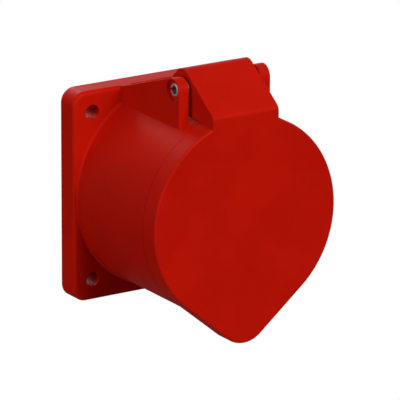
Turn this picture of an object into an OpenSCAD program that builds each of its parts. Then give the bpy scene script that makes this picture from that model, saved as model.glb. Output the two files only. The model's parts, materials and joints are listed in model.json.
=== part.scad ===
// Five-pole industrial panel socket with a sprung, hinged lid.
// Origin: centre of the flange on the panel's face. -Y points out of the panel, +Z is up.
// Inside socket_frame() the local axes are x to the right, y up and z out of the panel.

/* [Flange] */
// Width and height of the square flange
flange_w = 75; // [74.5:0.5:90]
// Thickness of the flange
flange_t = 8.3; // [7.5:0.1:11]
// Corner radius of the flange
flange_corner_r = 5; // [3.5:0.5:6]
// Rounding of the flange's front edge
flange_edge_r = 1.4; // [0.6:0.1:1.8]
// Thickness of the flange's front plate and side walls
flange_wall = 3; // [2.5:0.1:3.5]
// Distance between the mounting holes, both ways
mount_spacing = 60; // [59:0.5:62]
// Diameter of the mounting holes
mount_hole_d = 5.2; // [4:0.1:5.6]
// Wall around each mounting hole
mount_boss_wall = 1.8; // [1.6:0.1:2.4]
// Thickness of the flange gasket
gasket_t = 1.5; // [1:0.1:2]
// Width of the flange's edge around the gasket
gasket_edge = 1.5; // [1.3:0.1:1.7]
// Gap around the gasket in its recess
gasket_gap = 0.3; // [0.2:0.05:0.5]

/* [Body and collar] */
// Outer diameter of the round body
body_d = 72.4; // [71.6:0.2:73]
// Length of the body in front of the flange
body_len = 42.45; // [40:0.05:46]
// Wall of the body's outer skin
skin_t = 2.4; // [2:0.1:2.6]
// Bevel between body and flange
base_bevel = 0.7; // [0.3:0.1:0.9]
// Bore of the collar that takes the plug's shroud
collar_bore_d = 58.2; // [57.6:0.2:58.8]
// Wall of the collar inside the body
collar_t = 2.4; // [2:0.1:2.6]
// Wall of the collar's front lip
collar_lip_t = 3.5; // [3:0.1:3.8]
// How far the lip stands out of the body
collar_rise = 3.65; // [3.2:0.05:4.2]
// Thickness of the wall that joins skin and collar at the front
front_wall_t = 2.9; // [2:0.1:3.5]
// Width of the keyway in the collar
keyway_w = 7; // [5:0.5:8]
// Depth of the keyway below the collar's bore
keyway_depth = 2.1; // [1.5:0.1:2.4]

/* [Lid] */
// Gap between the lid's rim and the body's front
lid_gap = 0.15; // [0.1:0.05:0.6]
// Depth of the lid from its face to the back of its rim
lid_depth = 7.6; // [7.2:0.1:8.4]
// Wall of the lid
lid_wall = 2.4; // [2:0.1:2.6]
// Rounding of the lid's face at its edge
lid_edge_r = 0.8; // [0.4:0.1:1.2]
// Radius of the lid's finger tip
tip_r = 10.2; // [9:0.2:12]
// Distance from the lid's centre to its lowest point
tip_drop = 44.1; // [42:0.1:47]
// Gap between the lid's seal and the collar's lip
seal_gap = 0.05; // [0.02:0.01:0.1]
// Width of the seal beyond the lip on each side
seal_margin = 0.4; // [0.2:0.05:0.6]
// Wall of the rib that centres the seal
seal_rib_t = 1.5; // [1.2:0.1:2]
// Height of that rib above the lid's inner face
seal_rib_h = 2.5; // [2:0.1:3]
// Width of the catch that holds a plug in
catch_w = 16; // [12:1:20]
// Height of the catch above the lid's inner face
catch_h = 4.6; // [3:0.1:5]
// Thickness of the catch
catch_t = 3; // [2:0.1:4]
// Distance from the hinge pin down to the catch
catch_drop = 24; // [20:1:30]

/* [Hinge] */
// Distance from the body's front back to the pin's axis
pin_setback = 9.85; // [9:0.05:10.4]
// Height of the pin's axis above the body's surface
pin_rise = 7.8; // [7.7:0.1:8.6]
// Outer diameter of the rolled hinge pin
pin_d = 5; // [4.8:0.1:5.2]
// Hole through the hinge pin
pin_hole_d = 2.9; // [2.4:0.1:3.2]
// Slot along the hinge pin
pin_slot_w = 1; // [0.6:0.1:1.4]
// Chamfer at the pin's ends
pin_chamfer = 0.4; // [0.2:0.05:0.5]
// Radial clearance of the pin in the ears
pin_hold = 0.02; // [0.01:0.01:0.04]
// Radial clearance of the pin in the lid
pin_play = 0.08; // [0.04:0.01:0.1]
// Distance over the ears' outer faces
ear_span = 36.6; // [35:0.2:38]
// Thickness of an ear
ear_t = 4; // [3.5:0.1:4.4]
// Radius of the ear's nose around the pin
ear_nose_r = 4.15; // [4:0.05:4.6]
// Diameter of the recess around the pin's end
ear_recess_d = 7.2; // [6.4:0.1:7.6]
// Depth of that recess
ear_recess_depth = 1.2; // [0.8:0.1:1.5]
// Distance from the ear's face in to the pin's end
pin_inset = 0.8; // [0.4:0.1:1.2]
// Gap between each ear and the lid's hinge block
ear_gap = 1.2; // [0.6:0.1:1.4]
// Angle of the hinge block's front slope below the horizontal
slope_angle = 35.2; // [34:0.1:37]
// Distance from the pin's axis to the front slope
slope_clear = 5.03; // [4.95:0.01:5.3]
// Angle of the hinge block's back slope below the horizontal
back_angle = 40; // [38:0.5:44]
// Distance from the pin's axis to the back slope
back_clear = 7.1; // [7:0.05:7.2]
// Rounding of the hinge block's ridge
ridge_r = 4.5; // [4:0.1:5]
// Rounding where the front slope meets the lid's face
crease_r = 2.5; // [2.4:0.1:3]
// Wall of the hinge block
block_wall = 2.2; // [1.8:0.1:2.2]
// Thickness of the hinge block's cheeks
cheek_t = 2.6; // [2:0.1:3]
// Radius of the cheeks behind and under the pin
knuckle_r = 8.3; // [8:0.1:8.4]
// Gap between the hinge block's underside and the body
under_gap = 0.7; // [0.5:0.1:0.9]
// Width of the stop tongue behind the hinge block
tongue_w = 14; // [10:1:15]
// Angle around the pin at which the tongue ends
tongue_angle = 147; // [144:1:148]
// Angle around the pin at which the wall beside the tongue ends
side_angle = 125; // [118:1:130]
// Lid angle at which the tongue reaches the stop rib
open_angle = 100; // [96:1:102]
// Gap left between tongue and stop rib
stop_gap = 0.25; // [0.15:0.05:0.35]
// Height of the stop rib above the top of the body
stop_h = 1.2; // [0.9:0.1:1.4]
// Thickness of the stop rib
stop_t = 1.8; // [1.4:0.1:2.4]

/* [Lid spring] */
// Wire of the torsion spring
wire_d = 0.9; // [0.7:0.05:1]
// Gap between the coil and the pin
coil_play = 0.15; // [0.1:0.05:0.25]
// Whole turns of the coil
coil_turns = 5; // [4:1:6]
// Gap between neighbouring turns
turn_gap = 0.15; // [0.1:0.05:0.2]
// Gap between the coil and the hollow around it
pocket_play = 0.3; // [0.2:0.05:0.35]
// Distance from the hinge block's cheek to the spring's body leg
leg_inset = 1.7; // [1.2:0.1:2]
// How deep the body leg stands in its hole
leg_hole_depth = 1.5; // [1:0.1:1.6]

/* [Contacts] */
// Diameter of the circle of contacts
contact_pcd = 30; // [29:0.5:31]
// Pins of the plug: line and neutral
line_pin_d = 5; // [4.8:0.1:5.2]
// Pin of the plug: protective earth
earth_pin_d = 7; // [6.8:0.1:7.2]
// Clearance of a plug pin in its contact, on the diameter
contact_play = 0.1; // [0.06:0.02:0.2]
// Wall of a contact sleeve
sleeve_t = 1.05; // [0.9:0.05:1.2]
// Depth of a contact's bore for the plug pin
sleeve_bore_len = 38; // [36:0.5:39]
// Length of the slots that let a contact spring
sleeve_slot_len = 15; // [12:0.5:18]
// Width of those slots
sleeve_slot_w = 0.6; // [0.4:0.1:0.8]
// Wall of the clip ring on a contact
clip_t = 0.5; // [0.4:0.05:0.6]
// Width of the clip ring
clip_w = 2.4; // [2:0.1:3]
// Distance from a contact's front to its clip ring
clip_setback = 2; // [1:0.5:4]
// Wall around the wire hole of a terminal
terminal_wall = 2.7; // [2.5:0.1:2.8]
// Diameter of the wire hole
wire_hole_d = 4.2; // [3.8:0.1:4.4]
// Depth of the wire hole
wire_hole_len = 12; // [11:0.5:13]
// How much wider the shoulder of a contact is than its sleeve, on the radius
shoulder_step = 1.6; // [1.4:0.1:1.8]

/* [Carrier and terminal cover] */
// Diameter of the contact carrier
carrier_d = 48.5; // [48:0.1:49]
// Distance from the collar's lip in to the carrier's face
carrier_recess = 6.4; // [6:0.1:7]
// Thickness of the carrier's face
carrier_face_t = 3; // [2.4:0.1:3.4]
// Width of the step with which the carrier bears on the foot plate
carrier_step_w = 1.2; // [0.8:0.1:1.4]
// Height of that step above the carrier's back
carrier_step_h = 1.5; // [1:0.1:2]
// Thickness of the foot plate around the carrier
foot_t = 3.2; // [2.8:0.1:3.6]
// Gap between the foot plate and the body's skin
foot_gap = 0.4; // [0.3:0.05:0.5]
// Gap between the foot plate and the carrier
plate_gap = 0.1; // [0.05:0.05:0.2]
// Depth of the contact's seat in front of the foot plate
seat_depth = 2.7; // [2:0.1:3.5]
// Clearance around contacts in carrier and cover
cell_play = 0.3; // [0.2:0.05:0.35]
// Clearance of a plug pin in the carrier's face, on the radius
entry_play = 0.4; // [0.3:0.05:0.6]
// How much the pin holes widen towards the front, on the radius
entry_flare = 0.6; // [0.3:0.1:0.9]
// How far the terminal cover stands out behind the panel's face
cover_back = 11; // [10.5:0.5:14]
// Wall of the terminal cover
cover_wall = 1.8; // [1.5:0.1:2]
// Thickness of the terminal cover's flange
cover_flange_t = 3; // [2.5:0.1:3.5]
// Radius of the terminal cover's flange
cover_r = 26.5; // [26:0.1:27.5]
// Radius of the holes through which the wires enter
wire_entry_r = 3; // [2.6:0.1:3.2]

/* [Screws] */
// Diameter of the carrier screws
foot_screw_d = 2.9; // [2.6:0.1:3]
// Length of the carrier screws under the head
foot_screw_len = 12; // [10:0.5:14]
// Head diameter of the carrier screws
foot_head_d = 5.6; // [5:0.1:5.8]
// Head height of the carrier screws
foot_head_h = 2; // [1.6:0.1:2.2]
// Diameter of the circle of carrier screws
foot_screw_pcd = 64; // [63.6:0.2:64.6]
// Wall around the screw's pilot hole
pilot_wall = 1.2; // [1:0.05:1.3]
// Diameter of the centre screw
centre_screw_d = 3.5; // [3:0.1:4]
// Length of the centre screw under the head
centre_screw_len = 26; // [24:1:30]
// Head diameter of the centre screw
centre_head_d = 6.8; // [6:0.1:7.2]
// Head height of the centre screw
centre_head_h = 2.2; // [1.8:0.1:2.4]
// Diameter of the terminal screws
clamp_screw_d = 4; // [3.6:0.1:4.2]
// Head diameter of the terminal screws
clamp_head_d = 5.4; // [5:0.1:5.6]
// Head height of the terminal screws
clamp_head_h = 2.2; // [1.8:0.1:2.4]
// Distance from the cover's back to the terminal screws
clamp_setback = 7; // [6.5:0.1:7.5]
// Radial clearance of a screw in its hole
screw_play = 0.05; // [0.03:0.01:0.08]
// Width of the slots in the screw heads
drive_slot_w = 0.9; // [0.7:0.1:1.1]
// Depth of the slots in the screw heads
drive_slot_depth = 1.1; // [0.8:0.1:1.3]

/* [Hidden] */
$fn = 96;
// Overlap of cutting shapes past the faces that they cut
cut = 1;
// Colours
red = [0.68, 0.06, 0.04];
black = [0.09, 0.09, 0.10];
steel = [0.72, 0.72, 0.74];
nickel = [0.80, 0.77, 0.70];

// Radius of the bosses around the mounting holes
boss_r = mount_hole_d / 2 + mount_boss_wall;

// Radii and places along z of the body and collar
body_r = body_d / 2;
skin_r = body_r - skin_t;
collar_r = collar_bore_d / 2;
collar_outer_r = collar_r + collar_t;
lip_r = collar_r + collar_lip_t;
body_front = flange_t + body_len;
lip_front = body_front + collar_rise;

// Lid
rim_back = body_front + lid_gap;
lid_face = rim_back + lid_depth;
lid_inner = lid_face - lid_wall;
tip_y = -(tip_drop - tip_r);
seal_t = lid_inner - lip_front - seal_gap;
seal_r1 = collar_r - seal_margin;
seal_r2 = lip_r + seal_margin;
// Angle of the straight sides' normals, from the radii that they touch
tangent_a = asin((body_r - tip_r) / (tip_drop - tip_r));
// How far the straight sides lie inside the line that touches both radii
side_dip = 0.02;

// Hinge: the pin's axis runs along x through [pin_y, pin_z]
pin_r = pin_d / 2;
pin_z = body_front - pin_setback;
pin_y = body_r + pin_rise;
pin_len = ear_span - 2 * pin_inset;
block_w = ear_span - 2 * ear_t - 2 * ear_gap;
hollow_w = block_w - 2 * cheek_t;
face_off = lid_face - pin_z;
slope_n = 90 - slope_angle;
back_n = 90 + back_angle;
tongue_r = back_clear / cos(tongue_angle - back_n);
stop_back = tongue_r * cos(tongue_angle + open_angle) + stop_gap;

// Lid spring
wire_r = wire_d / 2;
coil_r = pin_r + coil_play + wire_r;
coil_pitch = wire_d + turn_gap;
pocket_r = coil_r + wire_r + pocket_play;
body_leg_x = hollow_w / 2 - leg_inset;

// Contacts, clockwise from the front, each [name, angle, pin diameter]
CONTACTS = [
    ["pe", 270, earth_pin_d],
    ["l1", 198, line_pin_d],
    ["l2", 126, line_pin_d],
    ["l3", 54, line_pin_d],
    ["n", -18, line_pin_d],
];
carrier_face = lip_front - carrier_recess;
sleeve_front = carrier_face - carrier_face_t - cell_play;
foot_back = flange_t;
foot_front = foot_back + foot_t;
shoulder_front = foot_front + seat_depth;
wire_end_z = -cover_back + cover_wall + cell_play;
clamp_z = -cover_back + clamp_setback;
function bore_r(c) = (c[2] + contact_play) / 2;
function sleeve_r(c) = bore_r(c) + sleeve_t;
function clip_r(c) = sleeve_r(c) + screw_play + clip_t;
function shoulder_r(c) = sleeve_r(c) + shoulder_step;
function terminal_r(c) = max(wire_hole_d / 2 + terminal_wall, bore_r(c) + sleeve_t);
function chamber_r(c) = terminal_r(c) + cell_play;

// Screws
foot_screw_angles = [90, 210, 330];
pilot_r = foot_screw_d / 2 + screw_play;
foot_notch_r = foot_screw_d / 2 + cell_play;
// Height at which the centre screw's head seats in the cover
centre_seat_z = -cover_back + centre_head_h + cell_play;

// ---- helpers ----

// Turns the socket's own axes into the part's frame
module socket_frame() {
    rotate([90, 0, 0]) children();
}

// Moves a shape drawn around the z axis to a height z
module at_z(z) {
    translate([0, 0, z]) children();
}

// Round disc or post between two heights
module post(r, z1, z2) {
    at_z(z1) cylinder(r = r, h = z2 - z1);
}

// Ring between two heights
module ring(r1, r2, z1, z2) {
    difference() {
        post(r2, z1, z2);
        post(r1, z1 - cut, z2 + cut);
    }
}

// Extrudes a side view, drawn as [z, y], by w across the middle plane
module across(w) {
    rotate([0, -90, 0]) linear_extrude(w, center = true) children();
}

// Puts a shape at radius r and angle a around the z axis, its x axis pointing outwards
module around(a, r) {
    rotate([0, 0, a]) translate([r, 0, 0]) children();
}

function polar(a, r) = [r * cos(a), r * sin(a)];

// Point where two lines meet, each given by its normal's angle and its distance from the origin
function meet(a1, d1, a2, d2) =
    let (s = sin(a2 - a1))
    [(d1 * sin(a2) - d2 * sin(a1)) / s, (d2 * cos(a1) - d1 * cos(a2)) / s];

// Point where a line from p touches the circle around c from above
function touch(p, c, r) =
    let (v = c - p, a = atan2(v[1], v[0]) + asin(r / norm(v)))
    c + polar(a + 90, r);

// Slab section from the middle out to x = run, its outer top edge rounded by r
module rounded_section(run, t, r) {
    difference() {
        square([run, t]);
        translate([run - r, t - r]) difference() {
            square(r + cut);
            circle(r);
        }
    }
}

// Square slab with round corners and a rounded front edge
module rounded_slab(w, t, corner_r, edge_r) {
    side = w - 2 * corner_r;
    for (a = [0:90:270]) rotate([0, 0, a]) translate([side / 2, side / 2, 0]) {
        rotate_extrude() rounded_section(corner_r, t, edge_r);
        rotate([90, 0, 0]) linear_extrude(side) rounded_section(corner_r, t, edge_r);
    }
    translate([-side / 2, -side / 2, 0]) cube([side, side, t]);
}

// ---- housing: flange, body, collar and hinge ears in one moulding ----

// Side view of an ear: a web from the flange's top edge to the nose around the pin
module ear_profile() {
    root = [flange_t, flange_w / 2];
    nose = [pin_z, pin_y];
    translate(nose) circle(ear_nose_r);
    polygon([
        [flange_t - flange_edge_r, 0],
        [flange_t - flange_edge_r, flange_w / 2],
        root,
        touch(root, nose, ear_nose_r),
        nose,
        [pin_z + ear_nose_r, pin_y],
        [pin_z + ear_nose_r, 0],
    ]);
}

module ears() {
    for (side = [-1, 1]) translate([side * (ear_span - ear_t) / 2, 0, 0]) across(ear_t) ear_profile();
}

// Bores and end recesses for the hinge pin
module ear_bores() {
    translate([0, pin_y, pin_z]) rotate([0, 90, 0]) {
        cylinder(r = pin_r + pin_hold, h = ear_span + 2 * cut, center = true);
        for (side = [0, 1]) mirror([0, 0, side])
            at_z(ear_span / 2 - ear_recess_depth) cylinder(d = ear_recess_d, h = ear_recess_depth + cut);
    }
}

// Body with a small bevel around its foot
module body_form() {
    post(body_r, 0, body_front);
    at_z(flange_t) cylinder(r1 = body_r + base_bevel, r2 = body_r, h = base_bevel);
}

// Rib on the body's top that the lid's tongue meets when the lid is fully open
module stop_rib() {
    w = tongue_w - cut;
    top = body_r + stop_h;
    foot = sqrt(body_r * body_r - w * w / 4) - skin_t / 2;
    translate([-w / 2, foot, pin_z + stop_back]) cube([w, top - foot, stop_t]);
}

// Pockets that lighten the flange from behind, around the body and the four hole bosses
module flange_pockets() {
    difference() {
        at_z(-cut) linear_extrude(flange_t - flange_wall + cut) rounded_square(flange_w - 2 * flange_wall);
        post(body_r, -2 * cut, flange_t);
        at_mounts() post(boss_r, -2 * cut, flange_t);
    }
    difference() {
        at_z(-cut) linear_extrude(gasket_t + cut) rounded_square(flange_w - 2 * gasket_edge);
        at_mounts() post(boss_r, -2 * cut, flange_t);
    }
}

// Square outline inside the flange's wall, its corners following the flange's
module rounded_square(w) {
    r = flange_corner_r - (flange_w - w) / 2;
    side = w - 2 * r;
    square([w, side], center = true);
    square([side, w], center = true);
    for (x = [-1, 1], y = [-1, 1]) translate([x, y] * side / 2) circle(r);
}

module at_mounts() {
    for (x = [-1, 1], y = [-1, 1]) translate([x, y, 0] * mount_spacing / 2) children();
}

// Hollows of the body: the foot plate's seat and the gap between skin and collar
module body_core() {
    ring(collar_outer_r, skin_r, foot_front - cut, body_front - front_wall_t);
    post(skin_r, -cut, foot_front);
}

// Posts for the carrier screws, between skin and collar
module screw_posts() {
    for (a = foot_screw_angles) around(a, foot_screw_pcd / 2)
        post(pilot_r + pilot_wall, foot_front, foot_front + foot_screw_len);
}

// Room for the carrier screws and their heads
module screw_holes() {
    for (a = foot_screw_angles) around(a, foot_screw_pcd / 2) {
        post(foot_head_d / 2 + cell_play, -cut, foot_front);
        post(pilot_r, 0, foot_back + foot_screw_len + cell_play);
    }
}

// Solid bar that backs the keyway between collar and skin
module keyway_backing() {
    w = keyway_w + 2 * collar_t;
    y1 = skin_r + skin_t / 2;
    translate([-w / 2, -y1, foot_front]) cube([w, y1 - collar_r - collar_t / 2, body_front - foot_front - cut]);
}

// Slot in the bottom of the collar for the plug's key
module keyway() {
    translate([-keyway_w / 2, -collar_r - keyway_depth, foot_front + collar_t])
        cube([keyway_w, collar_r, lip_front]);
}

// Hole in the body's top for the spring's leg
module leg_hole() {
    bottom = sqrt(body_r * body_r - body_leg_x * body_leg_x) - leg_hole_depth - coil_play;
    translate([body_leg_x, bottom, pin_z + coil_r]) rotate([-90, 0, 0])
        cylinder(r = wire_r + coil_play, h = pin_rise);
}

module housing() {
    color(red) socket_frame() difference() {
        union() {
            difference() {
                union() {
                    rounded_slab(flange_w, flange_t, flange_corner_r, flange_edge_r);
                    body_form();
                    post(lip_r, body_front - cut, lip_front);
                    ears();
                    stop_rib();
                }
                flange_pockets();
                body_core();
            }
            screw_posts();
            keyway_backing();
        }
        at_mounts() post(mount_hole_d / 2, -cut, flange_t + cut);
        post(collar_r, 0, lip_front + cut);
        keyway();
        screw_holes();
        ear_bores();
        leg_hole();
    }
}

module flange_gasket() {
    color(black) socket_frame() difference() {
        linear_extrude(gasket_t) rounded_square(flange_w - 2 * gasket_edge - 2 * gasket_gap);
        post(skin_r + gasket_gap, -cut, gasket_t + cut);
        at_mounts() post(boss_r + gasket_gap, -cut, gasket_t + cut);
    }
}

// ---- lid: face, rim, finger tip and hinge block in one moulding ----

// Round-edged disc as thick as the lid is deep
module lid_disc(r) {
    rotate_extrude() rounded_section(r, lid_depth, lid_edge_r);
}

// Straight edge strip from the round face to the finger tip, on the right side
module side_strip() {
    len = (tip_drop - tip_r) * cos(tangent_a);
    rotate([0, 0, -tangent_a]) rotate([90, 0, 0]) linear_extrude(len)
        translate([body_r - tip_r, 0]) rounded_section(tip_r - side_dip, lid_depth, lid_edge_r);
}

// Outer form of the lid without its hinge block: round face, finger tip and straight sides
module lid_form() {
    at_z(rim_back) {
        lid_disc(body_r);
        translate([0, tip_y, 0]) lid_disc(tip_r);
        side_strip();
        mirror([1, 0, 0]) side_strip();
        linear_extrude(lid_depth) tip_web(2 * lid_edge_r);
    }
}

// Flat area between the round face and the finger tip, inset from the sides
module tip_web(inset) {
    polygon([
        polar(-tangent_a, body_r - inset),
        [0, tip_y] + polar(-tangent_a, tip_r - inset),
        [0, tip_y] + polar(180 + tangent_a, tip_r - inset),
        polar(180 + tangent_a, body_r - inset),
    ]);
}

// Hollow inside the lid's rim
module lid_hollow() {
    post(body_r - lid_wall, rim_back - cut, lid_inner);
    translate([0, tip_y, 0]) post(tip_r - lid_wall, rim_back - cut, lid_inner);
    at_z(rim_back - cut) linear_extrude(lid_depth - lid_wall + cut) tip_web(lid_wall);
}

// Side view under the hinge block's roof, as [z, y] from the pin, moved in by inset
module roof_profile(inset) {
    deep = 2 * tip_r;
    crease = meet(0, face_off - crease_r, slope_n, slope_clear - crease_r);
    ridge = meet(slope_n, slope_clear - ridge_r, back_n, back_clear - ridge_r);
    back_end = ridge + polar(back_n, ridge_r - inset) + polar(back_n + 90, deep);
    translate(crease) circle(crease_r - inset);
    translate(ridge) circle(ridge_r - inset);
    polygon([
        [face_off - inset, -deep],
        crease + [crease_r - inset, 0],
        crease + polar(slope_n, crease_r - inset),
        ridge + polar(slope_n, ridge_r - inset),
        ridge + polar(back_n, ridge_r - inset),
        back_end,
        [back_end[0], -deep],
    ]);
}

// Side view of the whole hinge block: the roof's outline, rounded behind the pin
module block_profile() {
    deep = 2 * tip_r;
    intersection() {
        roof_profile(0);
        union() {
            circle(knuckle_r);
            translate([0, -deep]) square([face_off, 2 * deep]);
        }
    }
}

// Side view of the block's hollow, open to the back from angle end_angle on
module hollow_profile(end_angle) {
    far = 2 * knuckle_r;
    roof_profile(block_wall);
    circle(pocket_r);
    polygon([[0, 0], polar(end_angle, far), [-far, 0], [-far, -far], [0, -far]]);
}

module hinge_block() {
    side_w = (hollow_w - tongue_w) / 2;
    translate([0, pin_y, pin_z]) difference() {
        across(block_w) block_profile();
        across(tongue_w + cut / 2) hollow_profile(tongue_angle);
        for (side = [-1, 1]) translate([side * (tongue_w + side_w) / 2, 0, 0])
            across(side_w) hollow_profile(side_angle);
    }
}

// Rib on the lid's inside that catches behind a plug's nose, its lower side sloped
module plug_catch() {
    y = pin_y - catch_drop;
    across(catch_w) polygon([
        [lid_inner + cut, y],
        [lid_inner - catch_h, y],
        [lid_inner - catch_h, y - catch_t / 2],
        [lid_inner, y - catch_t],
        [lid_inner + cut, y - catch_t],
    ]);
}

module lid() {
    color(red) socket_frame() {
        difference() {
            union() {
                lid_form();
                hinge_block();
            }
            lid_hollow();
            post(body_r + under_gap, 0, rim_back);
            translate([0, pin_y, pin_z]) rotate([0, 90, 0])
                cylinder(r = pin_r + pin_play, h = block_w + 2 * cut, center = true);
        }
        ring(seal_r1 - seal_gap - seal_rib_t, seal_r1 - seal_gap, lid_inner - seal_rib_h, lid_inner + cut);
        plug_catch();
    }
}

module lid_seal() {
    color(black) socket_frame() ring(seal_r1, seal_r2, lid_inner - seal_t, lid_inner);
}

// ---- hinge pin and spring ----

// Rolled spring pin: a slotted tube with chamfered ends
module hinge_pin() {
    color(steel) socket_frame() translate([0, pin_y, pin_z]) rotate([0, 90, 0]) difference() {
        rotate_extrude() polygon([
            [pin_hole_d / 2, -pin_len / 2],
            [pin_r - pin_chamfer, -pin_len / 2],
            [pin_r, -pin_len / 2 + pin_chamfer],
            [pin_r, pin_len / 2 - pin_chamfer],
            [pin_r - pin_chamfer, pin_len / 2],
            [pin_hole_d / 2, pin_len / 2],
        ]);
        translate([0, -pin_slot_w / 2, -pin_len]) cube([pin_d, pin_slot_w, 2 * pin_len]);
    }
}

// Sweeps a round wire along a path whose section planes all hold the directions u and v
function wire_ring(p, u, v, r, sides) =
    [for (i = [0:sides - 1]) p + r * cos(i * 360 / sides) * u + r * sin(i * 360 / sides) * v];

// Sections of the spring: the lid's leg, the coil around x, then the body's leg
wire_sides = 8;
coil_step = 22.5;
leg_line = back_clear - block_wall - wire_r - turn_gap / 2;
leg_reach = 1.7;
lid_leg_end = polar(back_n, leg_line) + polar(back_n + 90, leg_reach);
lid_leg_a = atan2(lid_leg_end[1], lid_leg_end[0]) - acos(coil_r / norm(lid_leg_end));
coil_sweep = lid_leg_a + 360 * coil_turns;
coil_steps = ceil(coil_sweep / coil_step);
body_leg_end = -(pin_rise + body_r - sqrt(body_r * body_r - body_leg_x * body_leg_x) + leg_hole_depth);
coil_x0 = body_leg_x - coil_pitch * coil_sweep / 360;

// Point and outward direction in the side view at angle a, as [x, y, z] from the pin
function coil_point(a, x) = [x, coil_r * sin(a), coil_r * cos(a)];
function outward(a) = [0, sin(a), cos(a)];

spring_rings = concat(
    [wire_ring([coil_x0, lid_leg_end[1], lid_leg_end[0]], [1, 0, 0], outward(lid_leg_a), wire_r, wire_sides)],
    [for (i = [0:coil_steps])
        let (a = lid_leg_a - coil_sweep * i / coil_steps, x = coil_x0 + coil_pitch * (lid_leg_a - a) / 360)
        wire_ring(coil_point(a, x), [1, 0, 0], outward(a), wire_r, wire_sides)],
    [wire_ring([body_leg_x, body_leg_end, coil_r], [1, 0, 0], outward(0), wire_r, wire_sides)]
);

module lid_spring() {
    rings = len(spring_rings);
    last = (rings - 1) * wire_sides;
    color(steel) socket_frame() translate([0, pin_y, pin_z]) polyhedron(
        points = [for (section = spring_rings) each section],
        faces = concat(
            [[for (i = [0:wire_sides - 1]) i]],
            [for (k = [0:rings - 2], i = [0:wire_sides - 1])
                let (j = (i + 1) % wire_sides, a = k * wire_sides, b = a + wire_sides)
                [a + i, b + i, b + j, a + j]],
            [[for (i = [wire_sides - 1:-1:0]) last + i]]
        )
    );
}

// ---- contacts ----

// Turned contact: slotted sleeve for the plug's pin in front, wire terminal behind
module contact(c) {
    color(nickel) socket_frame() around(c[1], contact_pcd / 2) difference() {
        union() {
            post(sleeve_r(c), foot_back, sleeve_front);
            post(shoulder_r(c), foot_back, shoulder_front);
            post(terminal_r(c), wire_end_z, foot_back);
        }
        post(bore_r(c), sleeve_front - sleeve_bore_len, sleeve_front + cut);
        post(wire_hole_d / 2, wire_end_z - cut, wire_end_z + wire_hole_len);
        for (a = [45, 135]) rotate([0, 0, a])
            translate([-body_r / 4, -sleeve_slot_w / 2, sleeve_front - sleeve_slot_len])
                cube([body_r / 2, sleeve_slot_w, sleeve_slot_len + cut]);
        at_z(clamp_z) rotate([0, 90, 0]) cylinder(d = clamp_screw_d + 2 * screw_play, h = 2 * terminal_r(c));
    }
}

// Open steel ring that keeps the slotted sleeve closed on the pin
module clip(c) {
    inner = sleeve_r(c) + screw_play;
    z2 = sleeve_front - clip_setback;
    color(steel) socket_frame() around(c[1], contact_pcd / 2) difference() {
        ring(inner, inner + clip_t, z2 - clip_w, z2);
        translate([0, -sleeve_slot_w, z2 - 2 * clip_w]) cube([2 * inner, 2 * sleeve_slot_w, 3 * clip_w]);
    }
}

// ---- carrier, foot plate and terminal cover ----

module contact_carrier() {
    color(black) socket_frame() difference() {
        union() {
            post(carrier_d / 2, foot_back + carrier_step_h, carrier_face);
            post(carrier_d / 2 - carrier_step_w, foot_back, carrier_face);
        }
        for (c = CONTACTS) around(c[1], contact_pcd / 2) cell_bores(c);
        post(centre_screw_d / 2 + screw_play, foot_back - cut, centre_seat_z + centre_screw_len);
    }
}

// Stepped hole for one contact, with a flared way in for the plug's pin
module cell_bores(c) {
    entry_r = c[2] / 2 + entry_play;
    flare = entry_flare * cut / carrier_face_t;
    at_z(carrier_face - carrier_face_t - cut)
        cylinder(r1 = entry_r - flare, r2 = entry_r + entry_flare + flare, h = carrier_face_t + 2 * cut);
    post(clip_r(c) + cell_play, foot_back, carrier_face - carrier_face_t);
    post(shoulder_r(c) + cell_play, foot_back - cut, shoulder_front);
}

// Plate that holds the carrier in the body, between the carrier's step and the terminal cover's flange
module foot_plate() {
    color(black) socket_frame() difference() {
        post(skin_r - foot_gap, foot_back, foot_front);
        post(carrier_d / 2 - carrier_step_w + plate_gap, foot_back - cut, foot_front);
        post(carrier_d / 2 + plate_gap, foot_back + carrier_step_h, foot_front + cut);
        for (a = foot_screw_angles) around(a, foot_screw_pcd / 2) {
            post(foot_notch_r, foot_back - cut, foot_front + cut);
            translate([0, -foot_notch_r, foot_back - cut]) cube([skin_t * 2, 2 * foot_notch_r, foot_t + 2 * cut]);
        }
    }
}

module terminal_cover() {
    hub_r = centre_head_d / 2 + cell_play + cover_wall;
    color(black) socket_frame() difference() {
        union() {
            post(cover_r, foot_back - cover_flange_t, foot_back);
            post(hub_r, -cover_back, foot_back);
            for (c = CONTACTS) around(c[1], contact_pcd / 2) {
                post(chamber_r(c) + cover_wall, -cover_back, foot_back);
                at_z(clamp_z) rotate([0, 90, 0])
                    cylinder(r = clamp_head_d / 2 + cell_play + cover_wall, h = cover_r - contact_pcd / 2 - cover_wall);
            }
            for (c = CONTACTS) rotate([0, 0, c[1]])
                translate([hub_r - cover_wall / 2, -cover_wall / 2, -cover_back + cover_wall])
                    cube([contact_pcd / 2 - chamber_r(c) - hub_r, cover_wall, cover_back]);
        }
        for (c = CONTACTS) around(c[1], contact_pcd / 2) {
            post(chamber_r(c), -cover_back + cover_wall, foot_back + cut);
            post(wire_entry_r, -cover_back - cut, foot_back);
            at_z(clamp_z) rotate([0, 90, 0]) cylinder(r = clamp_head_d / 2 + cell_play, h = cover_r);
        }
        post(centre_screw_d / 2 + cell_play, -cover_back, foot_back + cut);
        post(centre_head_d / 2 + cell_play, -cover_back - cut, centre_seat_z);
    }
}

// ---- screws ----

// Slotted screw along +z, the underside of its head at z = 0
module slotted_screw(d, len, head_d, head_h) {
    post(d / 2, 0, len);
    difference() {
        post(head_d / 2, -head_h, 0);
        translate([-head_d, -drive_slot_w / 2, -head_h - cut]) cube([2 * head_d, drive_slot_w, drive_slot_depth + cut]);
    }
}

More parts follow.
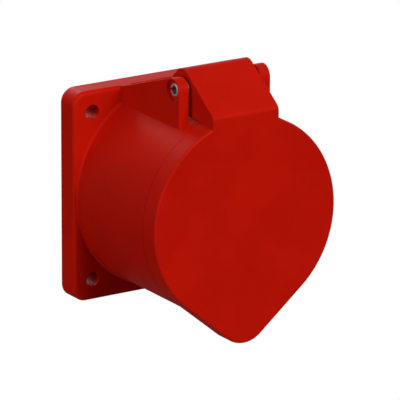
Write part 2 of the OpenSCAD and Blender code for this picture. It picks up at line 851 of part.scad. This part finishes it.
module carrier_screws() {
    color(steel) socket_frame() for (a = foot_screw_angles) around(a, foot_screw_pcd / 2)
        at_z(foot_back) slotted_screw(foot_screw_d, foot_screw_len, foot_head_d, foot_head_h);
}

module centre_screw() {
    color(steel) socket_frame() at_z(centre_seat_z)
        slotted_screw(centre_screw_d, centre_screw_len - cell_play, centre_head_d, centre_head_h);
}

// Clamp screws, screwed in until their tips reach the wire holes
module terminal_screws() {
    tip = wire_hole_d / 2 + screw_play;
    color(steel) socket_frame() for (c = CONTACTS) around(c[1], contact_pcd / 2)
        at_z(clamp_z) translate([terminal_r(c) + screw_play, 0, 0]) rotate([0, -90, 0])
            slotted_screw(clamp_screw_d, terminal_r(c) + screw_play - tip, clamp_head_d, clamp_head_h);
}

housing();
flange_gasket();
lid();
lid_seal();
hinge_pin();
lid_spring();
contact_carrier();
foot_plate();
terminal_cover();
carrier_screws();
centre_screw();
terminal_screws();
contact(CONTACTS[0]);  // contact_pe
contact(CONTACTS[1]);  // contact_l1
contact(CONTACTS[2]);  // contact_l2
contact(CONTACTS[3]);  // contact_l3
contact(CONTACTS[4]);  // contact_n
clip(CONTACTS[0]);  // clip_pe
clip(CONTACTS[1]);  // clip_l1
clip(CONTACTS[2]);  // clip_l2
clip(CONTACTS[3]);  // clip_l3
clip(CONTACTS[4]);  // clip_n
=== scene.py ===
"""Looks of the industrial panel socket: finishes, the lid's spring wire, floor, light and camera.

Everything is in metres in the part's own frame: +X right, -Y out of the panel, +Z up.
"""
import json
import math

import bpy
from mathutils import Matrix, Vector


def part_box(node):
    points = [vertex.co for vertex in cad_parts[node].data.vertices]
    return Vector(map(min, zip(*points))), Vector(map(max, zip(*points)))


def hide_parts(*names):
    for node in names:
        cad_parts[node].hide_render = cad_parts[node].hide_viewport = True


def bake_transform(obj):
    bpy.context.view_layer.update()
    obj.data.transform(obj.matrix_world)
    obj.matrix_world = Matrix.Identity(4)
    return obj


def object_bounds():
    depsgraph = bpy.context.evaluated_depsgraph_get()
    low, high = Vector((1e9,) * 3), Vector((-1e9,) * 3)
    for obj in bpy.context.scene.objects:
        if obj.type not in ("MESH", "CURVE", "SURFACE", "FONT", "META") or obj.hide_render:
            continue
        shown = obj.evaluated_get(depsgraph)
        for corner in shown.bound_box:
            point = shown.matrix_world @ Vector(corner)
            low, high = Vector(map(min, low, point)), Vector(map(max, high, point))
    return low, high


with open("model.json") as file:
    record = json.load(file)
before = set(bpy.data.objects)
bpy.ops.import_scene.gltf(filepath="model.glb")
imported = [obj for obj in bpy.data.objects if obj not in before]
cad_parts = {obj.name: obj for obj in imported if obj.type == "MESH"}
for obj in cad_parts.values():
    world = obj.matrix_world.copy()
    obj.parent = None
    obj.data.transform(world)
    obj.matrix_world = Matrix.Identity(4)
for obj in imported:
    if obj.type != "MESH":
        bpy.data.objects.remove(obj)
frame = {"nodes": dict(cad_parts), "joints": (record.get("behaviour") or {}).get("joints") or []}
cad_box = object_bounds()
MM = 0.001

# ---------------------------------------------------------------- finishes


def linear(hex_colour):
    """An sRGB hex colour as linear RGBA."""
    parts = [int(hex_colour[i:i + 2], 16) / 255 for i in (1, 3, 5)]
    return [c / 12.92 if c <= 0.04045 else ((c + 0.055) / 1.055) ** 2.4 for c in parts] + [1.0]


def feed(tree, node, key, value):
    """Sets an input socket to a value, or links it to another socket."""
    socket = node.inputs[key]
    if isinstance(value, bpy.types.NodeSocket):
        tree.links.new(value, socket)
    else:
        socket.default_value = value


def add(tree, kind, settings=None, **sockets):
    """Adds a node with its settings and fed sockets: i0 is socket 0, From_Min is socket From Min."""
    made = tree.nodes.new(kind)
    for name, value in (settings or {}).items():
        setattr(made, name, value)
    for name, value in sockets.items():
        numbered = name[0] == "i" and name[1:].isdigit()
        feed(tree, made, int(name[1:]) if numbered else name.replace("_", " "), value)
    return made


def finish_named(name):
    """An empty material with its shader joined to the output, as (material, tree, shader, place)."""
    material = bpy.data.materials.new(name)
    material.use_nodes = True
    tree = material.node_tree
    tree.nodes.clear()
    shader = add(tree, "ShaderNodeBsdfPrincipled")
    add(tree, "ShaderNodeOutputMaterial", Surface=shader.outputs["BSDF"])
    place = add(tree, "ShaderNodeTexCoord").outputs["Object"]
    return material, tree, shader, place


def set_shader(tree, shader, **sockets):
    """Feeds the shader's own sockets."""
    for name, value in sockets.items():
        feed(tree, shader, name.replace("_", " "), value)


def moulded_polyamide(name, colour, deep, shine, roughness, grain_mm, grain_depth, edge_mm):
    """Injection-moulded polyamide: even pigment, satin spark-eroded grain, softly broken edges."""
    material, tree, shader, place = finish_named(name)
    # Flow of the melt: the pigment drifts a little over some 18 mm
    flow = add(tree, "ShaderNodeTexNoise", Vector=place, Scale=1 / (18 * MM), Detail=3.0,
               Roughness=0.55)
    drift = add(tree, "ShaderNodeMapRange", Value=flow.outputs["Fac"],
                From_Min=0.3, From_Max=0.7, To_Min=0.0, To_Max=1.0)
    tint = add(tree, "ShaderNodeMix", {"data_type": "RGBA"}, i0=drift.outputs["Result"],
               i6=linear(deep), i7=linear(colour))
    # Eroded grain of the mould: real pits are about 0.05 mm, drawn coarser so that they show
    pits = add(tree, "ShaderNodeTexNoise", Vector=place, Scale=1 / (grain_mm * MM), Detail=5.0,
               Roughness=0.7)
    # Handling: patches that are a touch smoother, some 9 mm across
    worn = add(tree, "ShaderNodeTexNoise", Vector=place, Scale=1 / (9 * MM), Detail=4.0)
    gloss = add(tree, "ShaderNodeMapRange", Value=worn.outputs["Fac"], From_Min=0.3, From_Max=0.7,
                To_Min=roughness - 0.05, To_Max=roughness + 0.05)
    speck = add(tree, "ShaderNodeMapRange", Value=pits.outputs["Fac"], From_Min=0.25, From_Max=0.75,
                To_Min=-0.05, To_Max=0.05)
    rough = add(tree, "ShaderNodeMath", {"operation": "ADD"}, i0=gloss.outputs["Result"],
                i1=speck.outputs["Result"])
    # Mould edges are never quite sharp
    edge = add(tree, "ShaderNodeBevel", {"samples": 6}, Radius=edge_mm * MM)
    bump = add(tree, "ShaderNodeBump", Strength=0.35, Distance=grain_depth * MM,
               Height=pits.outputs["Fac"], Normal=edge.outputs["Normal"])
    set_shader(tree, shader, Base_Color=tint.outputs[2], Roughness=rough.outputs["Value"], IOR=1.53,
               Specular_IOR_Level=shine, Normal=bump.outputs["Normal"])
    return material


def soft_rubber(name, colour, dust):
    """Moulded EPDM rubber: matt, nearly black, with a bloom of pale dust in its pores."""
    material, tree, shader, place = finish_named(name)
    pores = add(tree, "ShaderNodeTexVoronoi", Vector=place, Scale=1 / (0.45 * MM))
    bloom = add(tree, "ShaderNodeTexNoise", Vector=place, Scale=1 / (4 * MM), Detail=6.0)
    amount = add(tree, "ShaderNodeMapRange", Value=bloom.outputs["Fac"], From_Min=0.4, From_Max=0.8,
                 To_Min=0.0, To_Max=0.5)
    tint = add(tree, "ShaderNodeMix", {"data_type": "RGBA"}, i0=amount.outputs["Result"],
               i6=linear(colour), i7=linear(dust))
    bump = add(tree, "ShaderNodeBump", Strength=0.3, Distance=0.03 * MM,
               Height=pores.outputs["Distance"])
    set_shader(tree, shader, Base_Color=tint.outputs[2], Roughness=0.82, IOR=1.52,
               Normal=bump.outputs["Normal"])
    return material


def drawn_steel(name, colour, dark, roughness, along):
    """Stainless steel, drawn or rolled: fine lines along the metal and a soft grey shine."""
    material, tree, shader, place = finish_named(name)
    # Lines are 0.08 mm apart and run along one axis
    stretch = [1.0 / (0.08 * MM)] * 3
    stretch["XYZ".index(along)] = 1.0 / (4 * MM)
    spread = add(tree, "ShaderNodeMapping", Vector=place, Scale=stretch)
    lines = add(tree, "ShaderNodeTexNoise", Vector=spread.outputs["Vector"], Scale=1.0, Detail=4.0)
    stain = add(tree, "ShaderNodeTexNoise", Vector=place, Scale=1 / (2.5 * MM), Detail=5.0)
    tint = add(tree, "ShaderNodeMix", {"data_type": "RGBA"}, i0=stain.outputs["Fac"],
               i6=linear(dark), i7=linear(colour))
    rough = add(tree, "ShaderNodeMapRange", Value=lines.outputs["Fac"], From_Min=0.2, From_Max=0.8,
                To_Min=roughness - 0.08, To_Max=roughness + 0.1)
    bump = add(tree, "ShaderNodeBump", Strength=0.2, Distance=0.004 * MM, Height=lines.outputs["Fac"])
    set_shader(tree, shader, Base_Color=tint.outputs[2], Metallic=1.0, Roughness=rough.outputs["Result"],
               Normal=bump.outputs["Normal"])
    return material


def zinc_plate(name, colour, blue, roughness):
    """Zinc-plated steel: a pale bluish metal, its crystals showing as small cloudy patches."""
    material, tree, shader, place = finish_named(name)
    crystals = add(tree, "ShaderNodeTexVoronoi", Vector=place, Scale=1 / (0.7 * MM))
    cloud = add(tree, "ShaderNodeTexNoise", Vector=place, Scale=1 / (1.2 * MM), Detail=4.0)
    tint = add(tree, "ShaderNodeMix", {"data_type": "RGBA"}, i0=cloud.outputs["Fac"],
               i6=linear(colour), i7=linear(blue))
    rough = add(tree, "ShaderNodeMapRange", Value=crystals.outputs["Distance"], From_Min=0.0,
                From_Max=0.8, To_Min=roughness - 0.08, To_Max=roughness + 0.12)
    set_shader(tree, shader, Base_Color=tint.outputs[2], Metallic=1.0, Roughness=rough.outputs["Result"])
    return material


def turned_nickel(name, colour, warm, roughness):
    """Turned brass with a nickel plate: faint tool marks around it and a warm grey shine."""
    material, tree, shader, place = finish_named(name)
    # Real tool marks are about 0.1 mm apart along the contact, drawn coarser so that they show
    wave_phase, mark_pitch = 20, 0.25 * MM
    marks = add(tree, "ShaderNodeTexWave", {"bands_direction": "Y"}, Vector=place,
                Scale=1 / (wave_phase * mark_pitch) * math.pi, Distortion=0.6, Detail=2.0)
    breath = add(tree, "ShaderNodeTexNoise", Vector=place, Scale=1 / (3 * MM), Detail=4.0)
    tint = add(tree, "ShaderNodeMix", {"data_type": "RGBA"}, i0=breath.outputs["Fac"],
               i6=linear(colour), i7=linear(warm))
    rough = add(tree, "ShaderNodeMapRange", Value=breath.outputs["Fac"], From_Min=0.3, From_Max=0.7,
                To_Min=roughness - 0.06, To_Max=roughness + 0.08)
    bump = add(tree, "ShaderNodeBump", Strength=0.25, Distance=0.01 * MM, Height=marks.outputs["Fac"])
    set_shader(tree, shader, Base_Color=tint.outputs[2], Metallic=1.0, Roughness=rough.outputs["Result"],
               Normal=bump.outputs["Normal"])
    return material


red_polyamide = moulded_polyamide("red_moulded_polyamide", "#B91405", "#B01104", shine=0.025,
                                  roughness=0.42, grain_mm=0.22, grain_depth=0.02, edge_mm=0.35)
black_polyamide = moulded_polyamide("black_moulded_polyamide", "#1E1E20", "#18181A", shine=0.4,
                                    roughness=0.5, grain_mm=0.3, grain_depth=0.03, edge_mm=0.2)
rubber = soft_rubber("black_epdm_rubber", "#141414", "#2B2A28")
pin_steel = drawn_steel("stainless_rolled_pin", "#D2D2D4", "#AEAEB2", 0.4, "X")
spring_steel = drawn_steel("stainless_spring_wire", "#C4C4C6", "#9C9CA0", 0.26, "X")
clip_steel = drawn_steel("stainless_clip_strip", "#BCBCBF", "#94949A", 0.3, "Y")
screw_zinc = zinc_plate("zinc_plated_screw_steel", "#C6C8CB", "#AEB6C2", 0.34)
contact_nickel = turned_nickel("nickel_plated_brass", "#CFC8B8", "#BFB299", 0.27)

FINISHES = {
    "housing": red_polyamide, "lid": red_polyamide,
    "contact_carrier": black_polyamide, "foot_plate": black_polyamide,
    "terminal_cover": black_polyamide,
    "flange_gasket": rubber, "lid_seal": rubber,
    "hinge_pin": pin_steel, "lid_spring": spring_steel,
    "carrier_screws": screw_zinc, "centre_screw": screw_zinc, "terminal_screws": screw_zinc,
}
for pole in ("pe", "l1", "l2", "l3", "n"):
    FINISHES["contact_" + pole] = contact_nickel
    FINISHES["clip_" + pole] = clip_steel
for name, part in frame["nodes"].items():
    part.data.materials.clear()
    part.data.materials.append(FINISHES[name])

# ---------------------------------------------------------------- the lid's torsion spring

hinge = frame["joints"][0]
pin_axis = Vector(hinge["pos_m"])
wire_r, pin_r, coil_play, turn_gap, coil_turns = 0.45 * MM, 2.5 * MM, 0.15 * MM, 0.15 * MM, 5
coil_r = pin_r + coil_play + wire_r
coil_pitch = 2 * wire_r + turn_gap
body_leg_x = 8.8 * MM


def from_pin(angle, reach):
    """Point in the spring's side view, x out of the panel and y up, at an angle around the pin."""
    return Vector((reach * math.cos(angle), reach * math.sin(angle), 0))


def spring_wire():
    """Sweeps the round wire around the pin and draws out its two legs."""
    # The lid leg runs along the lid's back wall, which stands across this direction from the pin
    wall_side, leg_line, leg_reach = 130, 4.375 * MM, 1.7 * MM
    leg_end = (from_pin(math.radians(wall_side), leg_line)
               + from_pin(math.radians(wall_side + 90), leg_reach))
    start = math.atan2(leg_end.y, leg_end.x) - math.acos(coil_r / leg_end.length)
    sweep = start + 2 * math.pi * coil_turns
    run = coil_pitch * sweep / (2 * math.pi)
    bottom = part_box("lid_spring")[0].z - pin_axis.z

    bpy.ops.object.select_all(action="DESELECT")
    bpy.ops.mesh.primitive_circle_add(vertices=16, radius=wire_r, location=(coil_r, 0, 0),
                                      rotation=(math.pi / 2, 0, 0))
    wire = bpy.context.object
    wire.name = "lid_spring_wire"
    bpy.ops.object.transform_apply(location=True, rotation=True, scale=True)
    coil = wire.modifiers.new("coil", "SCREW")
    coil.axis = "Z"
    coil.angle = -sweep
    coil.screw_offset = -run
    coil.steps = coil.render_steps = 200
    bpy.ops.object.modifier_apply(modifier="coil")

    # The first rim lies at angle zero and the last at minus the sweep, before the whole coil is turned
    rim_reach = 1.05 * wire_r
    ends = [(0.0, 0.0, leg_end - from_pin(start, coil_r)), (-sweep, -run, Vector((0, bottom, 0)))]
    for turned, depth, leg in ends:
        middle = from_pin(turned, coil_r) + Vector((0, 0, depth))
        out = Matrix.Rotation(-start, 3, "Z") @ leg
        rims = open_rims(wire)
        for v in wire.data.vertices:
            v.select = (v.co - middle).length < rim_reach and v.index in rims
        bpy.ops.object.mode_set(mode="EDIT")
        bpy.ops.mesh.select_mode(type="VERT")
        bpy.ops.mesh.extrude_region_move(TRANSFORM_OT_translate={"value": out})
        bpy.ops.mesh.edge_face_add()
        bpy.ops.mesh.select_all(action="DESELECT")
        bpy.ops.object.mode_set(mode="OBJECT")

    bpy.ops.object.mode_set(mode="EDIT")
    bpy.ops.mesh.select_all(action="SELECT")
    bpy.ops.mesh.normals_make_consistent(inside=False)
    bpy.ops.object.mode_set(mode="OBJECT")
    # Local x, y and z are out of the panel, up and to the left
    stand = Matrix(((0, 0, -1), (-1, 0, 0), (0, 1, 0))).to_4x4()
    lift = Matrix.Translation((0, 0, run - body_leg_x))
    wire.data.transform(Matrix.Translation(pin_axis) @ stand @ lift @ Matrix.Rotation(start, 4, "Z"))
    ends_round = wire.modifiers.new("ends", "BEVEL")
    ends_round.width, ends_round.segments, ends_round.limit_method = 0.12 * MM, 2, "ANGLE"
    ends_round.angle_limit = math.radians(60)
    bpy.ops.object.modifier_apply(modifier="ends")
    bpy.ops.object.shade_smooth_by_angle(angle=math.radians(40))
    wire.data.materials.append(spring_steel)
    return wire, run


def open_rims(part):
    """The indices of the vertices on open rims."""
    uses = {}
    for face in part.data.polygons:
        for edge in face.edge_keys:
            uses[edge] = uses.get(edge, 0) + 1
    return {v for edge, count in uses.items() if count == 1 for v in edge}


spring, spring_run = spring_wire()
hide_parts("lid_spring")
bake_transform(spring)

# ---------------------------------------------------------------- floor and light


def plain_floor(width, drop, white_share):
    """A pale matt floor below the socket, nearly white to the camera."""
    bpy.ops.object.select_all(action="DESELECT")
    bpy.ops.mesh.primitive_plane_add(size=width, location=(0, 0, cad_box[0].z - drop))
    floor = bpy.context.object
    floor.name = "floor"
    bpy.ops.object.transform_apply(location=True, rotation=True, scale=True)
    material, tree, shader, _ = finish_named("pale_matt_floor")
    set_shader(tree, shader, Base_Color=linear("#E6E6E4"), Roughness=0.9)
    seen = add(tree, "ShaderNodeLightPath").outputs["Is Camera Ray"]
    white = add(tree, "ShaderNodeEmission", Color=(1, 1, 1, 1), Strength=1.0)
    share = add(tree, "ShaderNodeMath", {"operation": "MULTIPLY"}, i0=seen, i1=white_share)
    both = add(tree, "ShaderNodeMixShader", i0=share.outputs["Value"], i1=shader.outputs["BSDF"],
               i2=white.outputs["Emission"])
    output = next(n for n in tree.nodes if n.type == "OUTPUT_MATERIAL")
    tree.links.new(both.outputs["Shader"], output.inputs["Surface"])
    floor.data.materials.append(material)


def soft_lamp(name, place, aim, size, watts):
    """A square soft box that the camera doesn't see."""
    lamp = bpy.data.objects.new(name, bpy.data.lights.new(name, "AREA"))
    bpy.context.scene.collection.objects.link(lamp)
    lamp.data.shape, lamp.data.size, lamp.data.energy = "SQUARE", size, watts
    lamp.location = place
    lamp.rotation_euler = (Vector(aim) - Vector(place)).to_track_quat("-Z", "Y").to_euler()
    lamp.visible_camera = False


def studio_world(above, below, bench):
    """A room that looks white, mirrors darker towards its bench, and lights at these levels."""
    world = bpy.data.worlds.new("studio")
    bpy.context.scene.world = world
    world.use_nodes = True
    tree = world.node_tree
    tree.nodes.clear()
    height = add(tree, "ShaderNodeSeparateXYZ",
                 Vector=add(tree, "ShaderNodeTexCoord").outputs["Generated"]).outputs["Z"]
    ray = add(tree, "ShaderNodeLightPath").outputs
    clear = add(tree, "ShaderNodeMath", {"operation": "MAXIMUM"}, i0=ray["Is Glossy Ray"],
                i1=ray["Is Transmission Ray"])
    lit = add(tree, "ShaderNodeMapRange", Value=height, From_Min=-0.3, From_Max=0.3,
              To_Min=below, To_Max=above)
    mirrored = add(tree, "ShaderNodeMapRange", Value=height, From_Min=-0.3, From_Max=0.5,
                   To_Min=bench, To_Max=1.0)
    unseen = add(tree, "ShaderNodeMapRange", Value=clear.outputs["Value"], To_Min=lit.outputs["Result"],
                 To_Max=mirrored.outputs["Result"])
    strength = add(tree, "ShaderNodeMapRange", Value=ray["Is Camera Ray"],
                   To_Min=unseen.outputs["Result"], To_Max=1.0)
    room = add(tree, "ShaderNodeBackground", Color=(1, 1, 1, 1), Strength=strength.outputs["Result"])
    add(tree, "ShaderNodeOutputWorld", Surface=room.outputs["Background"])


plain_floor(width=0.4, drop=0.42, white_share=0.96)
studio_world(above=0.28, below=0.0, bench=0.1)
middle = (cad_box[0] + cad_box[1]) / 2
soft_lamp("key", (0.2, -1.68, 1.02), middle, size=0.9, watts=32)
soft_lamp("fill", (-1.6, -0.25, 0.3), middle, size=1.0, watts=11)
soft_lamp("back", (0.3, 1.75, 0.5), middle, size=1.0, watts=22)

# ---------------------------------------------------------------- camera


def camera():
    """A long lens in front of the socket, to its left and above it."""
    across, above, roll = (math.radians(a) for a in (-32.40, 17.364, 0.176))
    distance, aside, below = 1.84237, 15.9 * MM, 8.15 * MM
    back = Vector((math.sin(across) * math.cos(above), -math.cos(across) * math.cos(above),
                   math.sin(above)))
    level = Vector((math.cos(across), math.sin(across), 0))
    up = back.cross(level)
    right = level * math.cos(roll) + up * math.sin(roll)
    up = up * math.cos(roll) - level * math.sin(roll)
    view = bpy.data.objects.new("camera", bpy.data.cameras.new("camera"))
    bpy.context.scene.collection.objects.link(view)
    place = back * distance + right * aside - up * below
    view.matrix_world = Matrix.Translation(place) @ Matrix((right, up, back)).transposed().to_4x4()
    view.data.sensor_width = 36
    view.data.lens = 478.0
    view.data.clip_start, view.data.clip_end = 0.1, 30
    bpy.context.scene.camera = view


camera()
bpy.context.scene.view_settings.view_transform = "Standard"

# ---------------------------------------------------------------- final update

bpy.context.view_layer.update()
